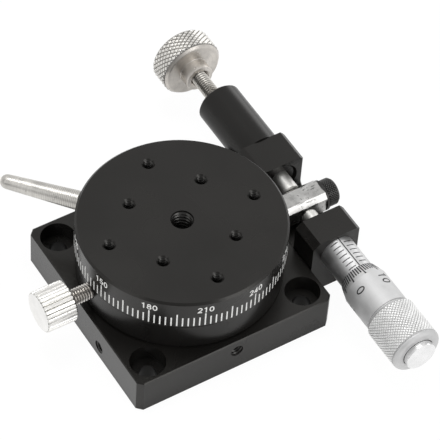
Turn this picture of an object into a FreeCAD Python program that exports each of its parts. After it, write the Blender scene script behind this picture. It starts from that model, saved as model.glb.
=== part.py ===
"""Manual rotation stage with a clamp ring, tangent arm, micrometer and sprung plunger.

Frame: origin on the rotation axis at the underside of the base plate, +Z up, +X towards the
tangent arm, +Y towards the sprung plunger. Millimetres and degrees throughout.
"""
import FreeCAD, Part
import math
import os

V = FreeCAD.Vector
X_AXIS, Y_AXIS, Z_AXIS = V(1, 0, 0), V(0, 1, 0), V(0, 0, 1)

# clearances
FIT = 0.02             # radial gap of a fixed fit
RUNNING = 0.05         # radial gap of a shaft or screw that turns or slides
SIDE_GAP = 0.3         # gap between faces that pass each other

# base plate
PLATE_SIZE = 40.0
PLATE_THICKNESS = 7.5
PLATE_CORNER = 1.0
PLATE_EDGE = 0.2
BOLT_SPACING = 32.0
BOLT_HOLE_R = 1.7
COUNTERBORE_R = 3.25
COUNTERBORE_DEPTH = 3.4
M3_TAP_R = 1.25
SIDE_HOLE_DEPTH = 7.0
FRONT_HOLE_Z = 4.8
LEFT_HOLE_Z = 2.7
LEFT_HOLE_SPACING = 12.0

# ball bearing in the post of the base plate
BEARING_BORE_R = 6.0
BEARING_OUTER_R = 10.5
BEARING_WIDTH = 5.0
BEARING_BOTTOM_Z = 7.0
BEARING_SHOULDER_R = 9.2
RACE_THICKNESS = 1.6
RACE_CHAMFER = 0.25
BALL_R = 1.19
BALL_COUNT = 12
BALL_GAP = 0.06
CAGE_THICKNESS = 0.8
CAGE_WIDTH = 3.4
CAGE_BALL_GAP = 0.1
POST_WALL = 1.7
LOCK_RING_BORE_R = 9.3
LOCK_RING_THICKNESS = 0.9
LOCK_RING_SLOT = 1.2

# clamp ring and its slip washer
WASHER_THICKNESS = 0.3
WASHER_INSET = 0.5
RING_LIFT = 0.05
RING_STEP = 0.3        # the ring is this much smaller in radius than the table
RING_TOP_Z = 13.4
RING_FLOOR = 1.65
RING_EDGE = 0.2

# rotating table
TABLE_R = 19.0
TABLE_HEIGHT = 20.0
TABLE_BEVEL = 0.4
TABLE_LOWER_EDGE = 0.15
TABLE_HOLE_PITCH = 10.0
TABLE_HOLE_TURN = 39.7
TABLE_HOLE_R = 1.05
TABLE_HOLE_DEPTH = 5.0
TABLE_HOLE_BEVEL = 0.2
CENTRE_THREAD_R = 2.1
CENTRE_THREAD_DEPTH = 8.0
DRILL_POINT = 0.3      # depth of a drill's cone as a share of its diameter
SKIRT_GAP = 0.5
SKIRT_POST_GAP = 0.9
SKIRT_WALL = 2.0
SKIRT_FLOOR_GAP = 0.4
HUB_SHOULDER_R = 7.4
NUT_THICKNESS = 2.8
NUT_SPANNER_HOLE_R = 0.6
HUB_THREAD_R = 5.0
HUB_TAIL = 0.4

# turning lever, screwed into the rim of the table
LEVER_AZIMUTH = 131.9
LEVER_BELOW_TOP = 2.25
LEVER_ROOT_R = 1.8
LEVER_TIP_R = 1.35
LEVER_LENGTH = 14.9
LEVER_STUD_R = 1.25
LEVER_STUD_IN_TABLE = 4.5
LEVER_STUD_IN_LEVER = 5.0

# clamp thumbscrew on the side opposite the arm
THUMB_Z = 11.4
THUMB_THREAD_R = 1.5
THUMB_HEAD_R = 3.85
THUMB_HEAD_LENGTH = 6.1
THUMB_REACH = 4.1      # from the ring to the head
THUMB_FLUTES = 28
THUMB_FLUTE_R = 0.24
THUMB_BEVEL = 0.25
PAD_R = 1.1
PAD_LENGTH = 1.2
PAD_GAP = 0.35

# tangent arm
ARM_WIDTH = 5.0
ARM_TOP_Z = 12.0
ARM_CHAMFER = 0.9
ARM_PAST_LINE = 4.5    # from the line of the micrometer to the arm's end
ARM_SCREW_Z = 9.35
ARM_SCREW_R = 1.5
ARM_SCREW_HEAD_R = 2.6
ARM_SCREW_HEAD_LENGTH = 2.5
ARM_SCREW_KEY = 2.5
ARM_SCREW_KEY_DEPTH = 1.3
ARM_WASHER_R = 2.9
ARM_WASHER_THICKNESS = 0.5

# micrometer bracket, bolted to the +X side of the plate
BRACKET_WIDTH = 10.0
BRACKET_BOTTOM_Z = 0.7
BRACKET_TOP_Z = 14.0
BRIDGE_TOP_Z = 6.2
FRONT_BLOCK = (-12.7, -6.7)
REAR_BLOCK = (6.3, 13.3)
BRACKET_INNER_RADIUS = 1.0
BRACKET_INNER_BEVEL = (1.4, 1.1)
BRACKET_OUTER_BEVEL = 0.8
BRACKET_CORNER_BEVEL = 0.3
BRACKET_SCREW_SPACING = 7.0
BRACKET_SCREW_Z = 3.4
BRACKET_SCREW_R = 1.25
BRACKET_SCREW_HEAD_R = 2.25
BRACKET_SCREW_HEAD_LENGTH = 2.5
BRACKET_SCREW_GRIP = 5.0
BRACKET_SCREW_KEY = 2.0

# the line of the micrometer and the plunger, parallel to Y
LINE_OFFSET = 0.2      # out from the middle of the bracket's width
LINE_Z = 10.0
BLOCK_BORE_R = 3.1
REAR_BORE_BEVEL = 0.4

# micrometer
CONTACT_GAP = 0.05
TIP_BALL_R = 1.1
TIP_BALL_GAP = 0.05
TIP_COVER = 0.55
SPINDLE_R = 1.5
SPINDLE_THREAD_R = 1.9
SPINDLE_THREAD_START = -20.0
SLEEVE_R = 3.35
SLEEVE_BORE_START = -17.4
SLEEVE_END = -26.5
SLEEVE_NUT_SEAT_R = 2.75
NUT_SEAT_START = -24.0
ADJUSTER_R = 3.2
SET_SCREW_R = 1.25
SET_SCREW_LENGTH = 3.0
SET_SCREW_KEY = 1.3
THIMBLE_FRONT = -19.85
THIMBLE_EDGE_R = 3.55
THIMBLE_BEVEL_END = -22.3
THIMBLE_R = 4.3
THIMBLE_BORE_R = 3.45
THIMBLE_BORE_END = -33.0
GRIP_START = -29.9
GRIP_GROOVE = 0.35
GRIP_R = 4.8
THIMBLE_END = -38.9
THIMBLE_END_ROUND = 1.0
CAP_R = 2.95
CAP_SEAT = 0.55
CAP_RIM = 1.05
CAP_DOME = 0.35
CAP_STEM_R = 1.4
CAP_STEM_LENGTH = 3.5

# sprung plunger and its tension screw
PIN_R = 1.75
PIN_DOME_R = 8.0
PIN_FLANGE_R = 2.45
PIN_FLANGE_START = 14.4
PIN_FLANGE_LENGTH = 1.0
PIN_NOSE_R = 1.2
PIN_NOSE_LENGTH = 1.6
HOUSING_R = 4.35
HOUSING_END = 28.3
HOUSING_RECESS = 0.45
HOUSING_EDGE = 0.4
CHAMBER_START = 12.0
CHAMBER_R = 2.6
PLUG_R = 3.1
PLUG_LENGTH = 3.0
SPRING_WIRE_R = 0.25
SPRING_R = 2.0
SPRING_TURNS = 6
SPRING_END = 22.6
SEAT_R = 2.45
SEAT_LENGTH = 1.0
STEM_R = 1.5
COLLAR_START = 34.9
COLLAR_R = 2.8
KNOB_START = 37.4
KNOB_END = 42.6
KNOB_R = 6.2
KNOB_BEVEL = 0.5

# values worked out from the sizes above
HALF_PLATE = PLATE_SIZE / 2
LINE_X = HALF_PLATE + BRACKET_WIDTH / 2 + LINE_OFFSET
RING_OUTER_R = TABLE_R - RING_STEP
WASHER_R = RING_OUTER_R - WASHER_INSET
BEARING_TOP_Z = BEARING_BOTTOM_Z + BEARING_WIDTH
PITCH_R = (BEARING_BORE_R + BEARING_OUTER_R) / 2
POST_R = BEARING_OUTER_R + POST_WALL
SKIRT_R = POST_R + SKIRT_POST_GAP + SKIRT_WALL
RING_INNER_R = SKIRT_R + SKIRT_GAP
LOCK_RING_TOP_Z = BEARING_TOP_Z + LOCK_RING_THICKNESS
WASHER_TOP_Z = PLATE_THICKNESS + WASHER_THICKNESS
RING_BOTTOM_Z = WASHER_TOP_Z + RING_LIFT
RING_FLOOR_Z = RING_BOTTOM_Z + RING_FLOOR
TABLE_BOTTOM_Z = RING_TOP_Z + SIDE_GAP
NUT_BOTTOM_Z = BEARING_BOTTOM_Z - NUT_THICKNESS
PAD_START = SKIRT_R + PAD_GAP
ARM_BOTTOM_Z = RING_BOTTOM_Z
BRACKET_OUTER = HALF_PLATE + BRACKET_WIDTH
ARM_FACE = ARM_WIDTH / 2
ARM_ROOT = (RING_OUTER_R + RING_INNER_R) / 2
ARM_END = LINE_X + ARM_PAST_LINE
THUMB_HEAD_START = RING_OUTER_R + THUMB_REACH
LEVER_Z = TABLE_HEIGHT - LEVER_BELOW_TOP
LEVER_END = TABLE_R + LEVER_LENGTH
SPRING_START = PIN_FLANGE_START + PIN_FLANGE_LENGTH


def turned(outline, origin, axis):
    """Solid of revolution: the outline is closed, as (place along the axis, radius) points."""
    side = X_AXIS if abs(axis.x) < 0.5 else Z_AXIS
    side = side.sub(V(axis).multiply(side.dot(axis)))
    side.normalize()
    points = [origin + V(axis).multiply(a) + V(side).multiply(r) for a, r in outline]
    wire = Part.makePolygon(points + points[:1])
    return Part.Face(wire).revolve(origin, axis, 360)


def rod(radius, start, end, origin, axis):
    """Cylinder between two places along an axis through the origin."""
    base = origin + V(axis).multiply(start)
    return Part.makeCylinder(radius, end - start, base, axis)


def tube(outer, inner, start, end, origin, axis):
    """Straight tube between two places along an axis."""
    return turned([(start, inner), (start, outer), (end, outer), (end, inner)], origin, axis)


def hexagon(across_flats, start, end, origin, axis):
    """Hexagonal prism for a key socket."""
    corner = across_flats / math.sqrt(3)
    prism = Part.makePolygon([
        V(corner * math.cos(math.radians(60 * i)), corner * math.sin(math.radians(60 * i)), 0)
        for i in range(7)])
    solid = Part.Face(prism).extrude(Z_AXIS * (end - start))
    solid.Placement = FreeCAD.Placement(
        origin + V(axis).multiply(start), FreeCAD.Rotation(Z_AXIS, axis))
    return solid


def drilled(radius, mouth, depth, direction):
    """Blind hole with a drill's cone at its bottom, from its mouth along a direction."""
    point = depth + 2 * radius * DRILL_POINT
    return turned([(-1, 0), (-1, radius), (depth, radius), (point, 0)], mouth, direction)


def cap_screw(thread_r, head_r, head_length, grip, key, key_depth, seat, direction):
    """Socket cap screw: the head stands behind its seat and the shank runs along direction."""
    bevel = head_r * 0.12
    outline = [
        (-head_length, 0), (-head_length, head_r - bevel), (-head_length + bevel, head_r),
        (0, head_r), (0, thread_r), (grip - thread_r * 0.3, thread_r), (grip, thread_r * 0.7),
        (grip, 0)]
    screw = turned(outline, seat, direction)
    return screw.cut(hexagon(key, -head_length - 1, key_depth - head_length, seat, direction))


def ring_of(count, radius, z, first=0.0):
    """Evenly spaced places on a circle about the rotation axis."""
    return [
        V(radius * math.cos(math.radians(first + 360 * i / count)),
          radius * math.sin(math.radians(first + 360 * i / count)), z)
        for i in range(count)]


LINE = V(LINE_X, 0, LINE_Z)
CENTRE = V(0, 0, 0)
THUMB_LINE = V(0, 0, THUMB_Z)
ARM_LINE = V(0, 0, ARM_SCREW_Z)


def bolt_places():
    """Centres of the four mounting holes of the base plate."""
    half = BOLT_SPACING / 2
    return [V(x, y, 0) for x in (-half, half) for y in (-half, half)]


def bracket_screw_places():
    """Centres of the two bracket screws on the outer face of the bracket."""
    half = BRACKET_SCREW_SPACING / 2
    return [V(BRACKET_OUTER, y, BRACKET_SCREW_Z) for y in (-half, half)]


def base_plate():
    plate = Part.makeBox(PLATE_SIZE, PLATE_SIZE, PLATE_THICKNESS, V(-HALF_PLATE, -HALF_PLATE, 0))
    upright = [e for e in plate.Edges if abs(e.tangentAt(0).z) > 0.9]
    plate = plate.makeChamfer(PLATE_CORNER, upright)
    rim = [e for e in plate.Edges if abs(e.CenterOfMass.z - PLATE_THICKNESS) < 1e-6]
    plate = plate.makeChamfer(PLATE_EDGE, rim)
    plate = plate.fuse(rod(POST_R, PLATE_THICKNESS - 1, LOCK_RING_TOP_Z, CENTRE, Z_AXIS))
    cuts = [
        rod(BEARING_SHOULDER_R, -1, BEARING_BOTTOM_Z + 1, CENTRE, Z_AXIS),
        rod(BEARING_OUTER_R + FIT, BEARING_BOTTOM_Z, LOCK_RING_TOP_Z + 1, CENTRE, Z_AXIS)]
    for place in bolt_places():
        cuts.append(rod(BOLT_HOLE_R, -1, PLATE_THICKNESS + 1, place, Z_AXIS))
        seat = PLATE_THICKNESS - COUNTERBORE_DEPTH
        cuts.append(rod(COUNTERBORE_R, seat, PLATE_THICKNESS + 1, place, Z_AXIS))
    mouth = V(0, -HALF_PLATE, FRONT_HOLE_Z)
    cuts.append(drilled(M3_TAP_R, mouth, SIDE_HOLE_DEPTH, Y_AXIS))
    for side in (-1, 1):
        mouth = V(-HALF_PLATE, side * LEFT_HOLE_SPACING / 2, LEFT_HOLE_Z)
        cuts.append(drilled(M3_TAP_R, mouth, SIDE_HOLE_DEPTH, X_AXIS))
    for place in bracket_screw_places():
        mouth = V(HALF_PLATE, place.y, place.z)
        depth = BRACKET_SCREW_GRIP + 1
        cuts.append(drilled(BRACKET_SCREW_R + FIT, mouth, depth, X_AXIS * -1))
    return plate.cut(Part.makeCompound(cuts)).removeSplitter()


def race_groove():
    """Torus that the balls run in, centred in the width of the bearing."""
    middle = V(0, 0, BEARING_BOTTOM_Z + BEARING_WIDTH / 2)
    return Part.makeTorus(PITCH_R, BALL_R + BALL_GAP, middle, Z_AXIS)


def bearing_race(inner, outer):
    """Race between two radii, with chamfered rims and its ball groove."""
    low, high, c = BEARING_BOTTOM_Z, BEARING_TOP_Z, RACE_CHAMFER
    outline = [
        (low, inner + c), (low, outer - c), (low + c, outer), (high - c, outer),
        (high, outer - c), (high, inner + c), (high - c, inner), (low + c, inner)]
    return turned(outline, CENTRE, Z_AXIS).cut(race_groove())


def ball_places():
    return ring_of(BALL_COUNT, PITCH_R, BEARING_BOTTOM_Z + BEARING_WIDTH / 2)


def bearing_balls():
    return Part.makeCompound([Part.makeSphere(BALL_R, p) for p in ball_places()])


def bearing_cage():
    middle = BEARING_BOTTOM_Z + BEARING_WIDTH / 2
    half_wall, half_width = CAGE_THICKNESS / 2, CAGE_WIDTH / 2
    cage = tube(PITCH_R + half_wall, PITCH_R - half_wall, middle - half_width,
                middle + half_width, CENTRE, Z_AXIS)
    pockets = []
    for place in ring_of(BALL_COUNT, 1, 0):
        start = place * (PITCH_R - CAGE_THICKNESS) + V(0, 0, middle)
        pockets.append(
            Part.makeCylinder(BALL_R + CAGE_BALL_GAP, 2 * CAGE_THICKNESS, start, place))
    return cage.cut(Part.makeCompound(pockets))


def bearing_lock_ring():
    ring = tube(BEARING_OUTER_R, LOCK_RING_BORE_R, BEARING_TOP_Z, LOCK_RING_TOP_Z, CENTRE, Z_AXIS)
    slot = Part.makeBox(4 * BEARING_OUTER_R, LOCK_RING_SLOT, LOCK_RING_THICKNESS,
                        V(-2 * BEARING_OUTER_R, -LOCK_RING_SLOT / 2,
                          LOCK_RING_TOP_Z - LOCK_RING_THICKNESS / 2))
    return ring.cut(slot)


def slip_washer():
    return tube(WASHER_R, POST_R + SIDE_GAP, PLATE_THICKNESS, WASHER_TOP_Z, CENTRE, Z_AXIS)


def arm_section(gap):
    """Cross-section of the arm, grown by a gap on its sides, as (y, z) points."""
    half, flat = ARM_FACE + gap, ARM_FACE - ARM_CHAMFER + gap
    top = ARM_TOP_Z + gap
    return [(-half, ARM_BOTTOM_Z), (half, ARM_BOTTOM_Z), (half, top - ARM_CHAMFER),
            (flat, top), (-flat, top), (-half, top - ARM_CHAMFER)]


def arm_bar(start, end, gap):
    points = [V(start, y, z) for y, z in arm_section(gap)]
    return Part.Face(Part.makePolygon(points + points[:1])).extrude(X_AXIS * (end - start))


def clamp_ring():
    outline = [
        (RING_BOTTOM_Z, POST_R + RUNNING), (RING_BOTTOM_Z, RING_OUTER_R),
        (RING_TOP_Z - RING_EDGE, RING_OUTER_R), (RING_TOP_Z, RING_OUTER_R - RING_EDGE),
        (RING_TOP_Z, RING_INNER_R), (RING_FLOOR_Z, RING_INNER_R), (RING_FLOOR_Z, POST_R + RUNNING)]
    ring = turned(outline, CENTRE, Z_AXIS)
    under = Part.makeBox(TABLE_R, ARM_WIDTH + 2 * FIT, 1,
                         V(ARM_ROOT, -ARM_FACE - FIT, RING_BOTTOM_Z - 1))
    cuts = [
        arm_bar(ARM_ROOT, ARM_ROOT + TABLE_R, FIT), under,
        rod(ARM_SCREW_R + FIT, RING_INNER_R - 1, ARM_ROOT + 1, ARM_LINE, X_AXIS),
        rod(THUMB_THREAD_R + RUNNING, RING_INNER_R - 1, RING_OUTER_R + 1, THUMB_LINE, X_AXIS * -1)]
    return ring.cut(Part.makeCompound(cuts))


def tangent_arm():
    bore = rod(ARM_SCREW_R + FIT, ARM_ROOT - 1, ARM_END + 1, ARM_LINE, X_AXIS)
    return arm_bar(ARM_ROOT, ARM_END, 0).cut(bore)


def arm_washer():
    end = ARM_END + ARM_WASHER_THICKNESS
    return tube(ARM_WASHER_R, ARM_SCREW_R + FIT, ARM_END, end, ARM_LINE, X_AXIS)


def arm_cap_screw():
    seat_x = ARM_END + ARM_WASHER_THICKNESS
    seat = V(seat_x, 0, ARM_SCREW_Z)
    return cap_screw(ARM_SCREW_R, ARM_SCREW_HEAD_R, ARM_SCREW_HEAD_LENGTH, seat_x - RING_INNER_R,
                     ARM_SCREW_KEY, ARM_SCREW_KEY_DEPTH, seat, X_AXIS * -1)


def lever_direction():
    angle = math.radians(LEVER_AZIMUTH)
    return V(math.cos(angle), math.sin(angle), 0)


def table_hole_places():
    """The eight threaded holes about the centre, on a square grid turned with the table."""
    turn = math.radians(TABLE_HOLE_TURN)
    places = []
    for i in (-1, 0, 1):
        for j in (-1, 0, 1):
            if i or j:
                x, y = i * TABLE_HOLE_PITCH, j * TABLE_HOLE_PITCH
                places.append(V(x * math.cos(turn) - y * math.sin(turn),
                                x * math.sin(turn) + y * math.cos(turn), TABLE_HEIGHT))
    return places


def rotating_table():
    skirt_bottom = RING_FLOOR_Z + SKIRT_FLOOR_GAP
    hub_r = BEARING_BORE_R - FIT
    tail = NUT_BOTTOM_Z - HUB_TAIL
    outline = [
        (TABLE_HEIGHT, 0), (TABLE_HEIGHT, TABLE_R - TABLE_BEVEL),
        (TABLE_HEIGHT - TABLE_BEVEL, TABLE_R), (TABLE_BOTTOM_Z + TABLE_LOWER_EDGE, TABLE_R),
        (TABLE_BOTTOM_Z, TABLE_R - TABLE_LOWER_EDGE), (TABLE_BOTTOM_Z, SKIRT_R),
        (skirt_bottom, SKIRT_R), (skirt_bottom, SKIRT_R - SKIRT_WALL),
        (TABLE_BOTTOM_Z, SKIRT_R - SKIRT_WALL), (TABLE_BOTTOM_Z, HUB_SHOULDER_R),
        (BEARING_TOP_Z, HUB_SHOULDER_R), (BEARING_TOP_Z, hub_r), (BEARING_BOTTOM_Z, hub_r),
        (BEARING_BOTTOM_Z, HUB_THREAD_R), (tail, HUB_THREAD_R), (tail, 0)]
    table = turned(outline, CENTRE, Z_AXIS)
    down = Z_AXIS * -1
    cuts = []
    for place in table_hole_places():
        cuts.append(drilled(TABLE_HOLE_R, place, TABLE_HOLE_DEPTH, down))
        cuts.append(Part.makeCone(TABLE_HOLE_R + 2 * TABLE_HOLE_BEVEL, TABLE_HOLE_R,
                                  2 * TABLE_HOLE_BEVEL, place + Z_AXIS * TABLE_HOLE_BEVEL, down))
    cuts.append(drilled(CENTRE_THREAD_R, V(0, 0, TABLE_HEIGHT), CENTRE_THREAD_DEPTH, down))
    out = lever_direction()
    cuts.append(drilled(LEVER_STUD_R + FIT, out * TABLE_R + V(0, 0, LEVER_Z),
                        LEVER_STUD_IN_TABLE + FIT, out * -1))
    return table.cut(Part.makeCompound(cuts))


def spindle_nut():
    """Round nut that draws the hub of the table onto the inner race."""
    nut = tube(HUB_SHOULDER_R, HUB_THREAD_R + FIT, NUT_BOTTOM_Z, BEARING_BOTTOM_Z, CENTRE, Z_AXIS)
    middle = (HUB_SHOULDER_R + HUB_THREAD_R) / 2
    holes = [rod(NUT_SPANNER_HOLE_R, -1, NUT_THICKNESS / 2, p, Z_AXIS)
             for p in ring_of(4, middle, NUT_BOTTOM_Z)]
    return nut.cut(Part.makeCompound(holes))


def turning_lever():
    """Tapered rod with a round end, seated on the rim of the table."""
    out = lever_direction()
    origin = V(0, 0, LEVER_Z)
    taper_end = LEVER_END - LEVER_TIP_R
    lever = turned([(TABLE_R, 0), (TABLE_R, LEVER_ROOT_R), (taper_end, LEVER_TIP_R),
                    (taper_end, 0)], origin, out)
    lever = lever.fuse(Part.makeSphere(LEVER_TIP_R, origin + out * taper_end))
    hole = rod(LEVER_STUD_R + FIT, TABLE_R - 1, TABLE_R + LEVER_STUD_IN_LEVER, origin, out)
    return lever.cut(hole)


def lever_stud():
    start, end = TABLE_R - LEVER_STUD_IN_TABLE, TABLE_R + LEVER_STUD_IN_LEVER
    return rod(LEVER_STUD_R, start, end, V(0, 0, LEVER_Z), lever_direction())


def clamp_pad():
    return rod(PAD_R, PAD_START, PAD_START + PAD_LENGTH, THUMB_LINE, X_AXIS * -1)


def clamp_thumbscrew():
    """Fluted head with a shank that runs through the ring to the clamp pad."""
    tip = PAD_START + PAD_LENGTH + RUNNING
    start, end = THUMB_HEAD_START, THUMB_HEAD_START + THUMB_HEAD_LENGTH
    out = X_AXIS * -1
    b = THUMB_BEVEL
    screw = turned([(tip, 0), (tip, PAD_R), (tip + b, THUMB_THREAD_R), (start, THUMB_THREAD_R),
                    (start, THUMB_HEAD_R - b), (start + b, THUMB_HEAD_R), (end - b, THUMB_HEAD_R),
                    (end, THUMB_HEAD_R - b), (end, 0)], THUMB_LINE, out)
    flutes = []
    for i in range(THUMB_FLUTES):
        angle = 2 * math.pi * i / THUMB_FLUTES
        place = V(0, THUMB_HEAD_R * math.cos(angle), THUMB_HEAD_R * math.sin(angle))
        flutes.append(rod(THUMB_FLUTE_R, start - 1, end + 1, THUMB_LINE + place, out))
    return screw.cut(Part.makeCompound(flutes))


def bracket_profile():
    """Side view of the bracket: two blocks joined by a low bridge, as (y, z) points."""
    low, top = BRACKET_BOTTOM_Z, BRACKET_TOP_Z
    return [
        (FRONT_BLOCK[0], low), (REAR_BLOCK[1], low), (REAR_BLOCK[1], top), (REAR_BLOCK[0], top),
        (REAR_BLOCK[0], BRIDGE_TOP_Z), (FRONT_BLOCK[1], BRIDGE_TOP_Z), (FRONT_BLOCK[1], top),
        (FRONT_BLOCK[0], top)]


def bracket_bevel(x, across, down):
    """Wedge along an upper edge of both blocks, at one side of the bracket."""
    corner = V(x, FRONT_BLOCK[0], BRACKET_TOP_Z)
    wedge = Part.makePolygon([corner, corner + X_AXIS * across, corner - Z_AXIS * down, corner])
    return Part.Face(wedge).extrude(Y_AXIS * (REAR_BLOCK[1] - FRONT_BLOCK[0]))


def micrometer_bracket():
    points = [V(HALF_PLATE, y, z) for y, z in bracket_profile()]
    body = Part.Face(Part.makePolygon(points + points[:1])).extrude(X_AXIS * BRACKET_WIDTH)
    inside = [e for e in body.Edges
              if abs(e.CenterOfMass.z - BRIDGE_TOP_Z) < 1e-6 and abs(e.tangentAt(0).x) > 0.9]
    body = body.makeFillet(BRACKET_INNER_RADIUS, inside)
    body = body.cut(bracket_bevel(HALF_PLATE, *BRACKET_INNER_BEVEL))
    outer = [e for e in body.Edges
             if abs(e.CenterOfMass.x - BRACKET_OUTER) < 1e-6
             and e.CenterOfMass.z > BRIDGE_TOP_Z + BRACKET_INNER_RADIUS
             and abs(e.tangentAt(0).z) > 0.9
             and abs(e.CenterOfMass.y - FRONT_BLOCK[1]) > 1e-6]
    body = body.makeChamfer(BRACKET_CORNER_BEVEL, outer)
    body = body.cut(bracket_bevel(BRACKET_OUTER, -BRACKET_OUTER_BEVEL, BRACKET_OUTER_BEVEL))
    mouth = Part.makeCone(BLOCK_BORE_R + REAR_BORE_BEVEL, BLOCK_BORE_R, REAR_BORE_BEVEL,
                          V(LINE_X, REAR_BLOCK[0], LINE_Z), Y_AXIS)
    body = body.cut(mouth)
    cuts = [
        rod(BLOCK_BORE_R, FRONT_BLOCK[0] - 1, FRONT_BLOCK[1] + 1, LINE, Y_AXIS),
        rod(BLOCK_BORE_R, REAR_BLOCK[0] - 1, REAR_BLOCK[1] + 1, LINE, Y_AXIS),
        rod(SET_SCREW_R + FIT, LINE_X, BRACKET_OUTER + 1, set_screw_line(), X_AXIS)]
    for place in bracket_screw_places():
        cuts.append(rod(BRACKET_SCREW_R + RUNNING, -BRACKET_WIDTH - 1, 1, place, X_AXIS))
        cuts.append(rod(BRACKET_SCREW_HEAD_R + RUNNING, -BRACKET_SCREW_HEAD_LENGTH, 1, place,
                        X_AXIS))
    return body.cut(Part.makeCompound(cuts))


def set_screw_line():
    return V(0, (FRONT_BLOCK[0] + FRONT_BLOCK[1]) / 2, LINE_Z)


def bracket_screws():
    shank = BRACKET_WIDTH - BRACKET_SCREW_HEAD_LENGTH + BRACKET_SCREW_GRIP
    seat = X_AXIS * -BRACKET_SCREW_HEAD_LENGTH
    return Part.makeCompound([
        cap_screw(BRACKET_SCREW_R, BRACKET_SCREW_HEAD_R, BRACKET_SCREW_HEAD_LENGTH, shank,
                  BRACKET_SCREW_KEY, BRACKET_SCREW_HEAD_LENGTH / 2, place + seat, X_AXIS * -1)
        for place in bracket_screw_places()])


def sleeve_set_screw():
    """Grub screw in the outer face of the front block that holds the sleeve."""
    start = LINE_X + BLOCK_BORE_R
    end = min(start + SET_SCREW_LENGTH, BRACKET_OUTER - FIT)
    screw = rod(SET_SCREW_R, start, end, set_screw_line(), X_AXIS)
    middle = (start + end) / 2
    return screw.cut(hexagon(SET_SCREW_KEY, middle, end + 1, set_screw_line(), X_AXIS))


def micrometer_sleeve():
    """Barrel: a nose in the bracket, the graduated part and the threaded rear end."""
    nose = BLOCK_BORE_R - FIT
    bore = SPINDLE_R + RUNNING
    thread = SPINDLE_THREAD_R + RUNNING
    outline = [
        (FRONT_BLOCK[1], bore), (FRONT_BLOCK[1], nose), (FRONT_BLOCK[0], nose),
        (FRONT_BLOCK[0], SLEEVE_R), (NUT_SEAT_START, SLEEVE_R),
        (NUT_SEAT_START, SLEEVE_NUT_SEAT_R), (SLEEVE_END, SLEEVE_NUT_SEAT_R),
        (SLEEVE_END, thread), (SLEEVE_BORE_START, thread), (SLEEVE_BORE_START, bore)]
    return turned(outline, LINE, Y_AXIS)


def adjusting_nut():
    nut = tube(ADJUSTER_R, SLEEVE_NUT_SEAT_R + FIT, SLEEVE_END, NUT_SEAT_START, LINE, Y_AXIS)
    slot_w = ADJUSTER_R / 4
    slot = Part.makeBox(4 * ADJUSTER_R, SLEEVE_NUT_SEAT_R / 3, slot_w,
                        LINE + V(-2 * ADJUSTER_R, SLEEVE_END, -slot_w / 2))
    return nut.cut(slot)


def tip_ball_centre():
    return V(LINE_X, -ARM_FACE - CONTACT_GAP - TIP_BALL_R, LINE_Z)


def spindle_ball():
    return Part.makeSphere(TIP_BALL_R, tip_ball_centre())


def micrometer_spindle():
    """Ground spindle with a ball socket in its tip, its screw thread and its rear stud."""
    centre = tip_ball_centre().y
    tip = centre + TIP_COVER
    neck = THIMBLE_BORE_END
    bevel = SPINDLE_R - TIP_BALL_R
    outline = [
        (tip, 0), (tip, TIP_BALL_R + bevel / 4), (tip - bevel, SPINDLE_R),
        (SPINDLE_THREAD_START, SPINDLE_R), (SPINDLE_THREAD_START, SPINDLE_THREAD_R),
        (neck, SPINDLE_THREAD_R), (THIMBLE_END + CAP_SEAT, SPINDLE_THREAD_R),
        (THIMBLE_END + CAP_SEAT, 0)]
    spindle = turned(outline, LINE, Y_AXIS)
    spindle = spindle.cut(Part.makeSphere(TIP_BALL_R + TIP_BALL_GAP, tip_ball_centre()))
    stem = rod(CAP_STEM_R + FIT, THIMBLE_END - 1, THIMBLE_END + CAP_SEAT + CAP_STEM_LENGTH, LINE,
               Y_AXIS)
    return spindle.cut(stem)


def thimble():
    """Bevelled front, plain barrel and raised grip, bored to run over the sleeve."""
    groove = GRIP_START + GRIP_GROOVE
    outline = [
        (THIMBLE_FRONT, THIMBLE_BORE_R), (THIMBLE_FRONT, THIMBLE_EDGE_R),
        (THIMBLE_BEVEL_END, THIMBLE_R), (groove, THIMBLE_R), (groove, THIMBLE_R - GRIP_GROOVE / 2),
        (GRIP_START, THIMBLE_R - GRIP_GROOVE / 2), (GRIP_START, GRIP_R - GRIP_GROOVE),
        (GRIP_START - GRIP_GROOVE, GRIP_R), (THIMBLE_END, GRIP_R),
        (THIMBLE_END, SPINDLE_THREAD_R + FIT), (THIMBLE_BORE_END, SPINDLE_THREAD_R + FIT),
        (THIMBLE_BORE_END, THIMBLE_BORE_R)]
    body = turned(outline, LINE, Y_AXIS)
    back = [e for e in body.Edges
            if abs(e.CenterOfMass.y - THIMBLE_END) < 1e-6 and e.Length > 2 * math.pi * CAP_R]
    body = body.makeFillet(THIMBLE_END_ROUND, back)
    seat = rod(CAP_R + RUNNING, THIMBLE_END - 1, THIMBLE_END + CAP_SEAT, LINE, Y_AXIS)
    return body.cut(seat)


def thimble_cap():
    """Domed screw that holds the thimble on the end of the spindle."""
    front, rim = THIMBLE_END + CAP_SEAT, THIMBLE_END - CAP_RIM
    dome_r = (CAP_R ** 2 + CAP_DOME ** 2) / (2 * CAP_DOME)
    body = rod(CAP_R, rim, front, LINE, Y_AXIS)
    ball = Part.makeSphere(dome_r, LINE + Y_AXIS * (rim - CAP_DOME + dome_r))
    dome = ball.common(rod(CAP_R, rim - CAP_DOME - 1, rim, LINE, Y_AXIS))
    stem = rod(CAP_STEM_R, front, front + CAP_STEM_LENGTH, LINE, Y_AXIS)
    return body.fuse([dome, stem]).removeSplitter()


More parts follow.
